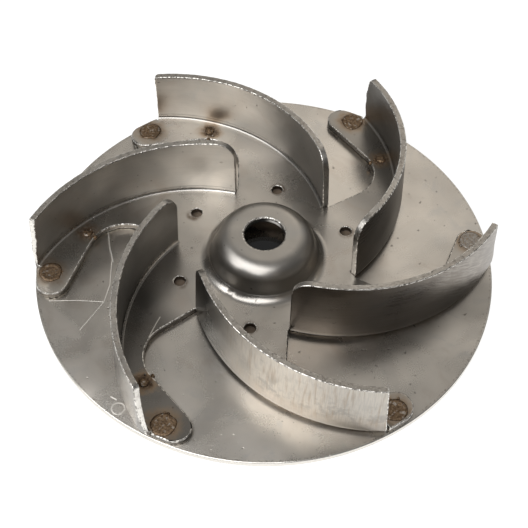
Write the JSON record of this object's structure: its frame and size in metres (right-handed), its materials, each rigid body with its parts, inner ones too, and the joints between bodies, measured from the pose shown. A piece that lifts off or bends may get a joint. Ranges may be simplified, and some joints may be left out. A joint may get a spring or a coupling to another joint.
{
  "type": "semi-open pump impeller",
  "caption": "Semi-open pump impeller: curved upright vanes and a drawn hub pressed from sheet steel, spot-welded to a flat round back disc.",
  "frame": {"origin": "centre of the underside of the back disc, on the axis of rotation", "axes": "+Z along the axis of rotation, from the back disc towards the open vane side; X and Y lie in the disc, and the tip of vane_5 lies near +X"},
  "size_m": [0.184, 0.184, 0.0344],
  "materials": {
    "disc_steel": "worn satin sheet with fine scratches",
    "pressed_steel": "dull pressed sheet, streaked along the draw, bright where rubbed",
    "weld_steel": "brown heat tint around each spot weld"
  },
  "bodies": {
    "root": {"back_disc": "disc_steel", "hub_plate": "pressed_steel", "vane_1": "pressed_steel", "vane_2": "pressed_steel", "vane_3": "pressed_steel", "vane_4": "pressed_steel", "vane_5": "pressed_steel", "vane_6": "pressed_steel", "lobe_weld_1": "weld_steel", "lobe_weld_2": "weld_steel", "lobe_weld_3": "weld_steel", "lobe_weld_4": "weld_steel", "lobe_weld_5": "weld_steel", "lobe_weld_6": "weld_steel", "neck_weld_1": "weld_steel", "neck_weld_2": "weld_steel", "neck_weld_3": "weld_steel", "neck_weld_4": "weld_steel", "neck_weld_5": "weld_steel", "neck_weld_6": "weld_steel"}
  },
  "joints": []
}
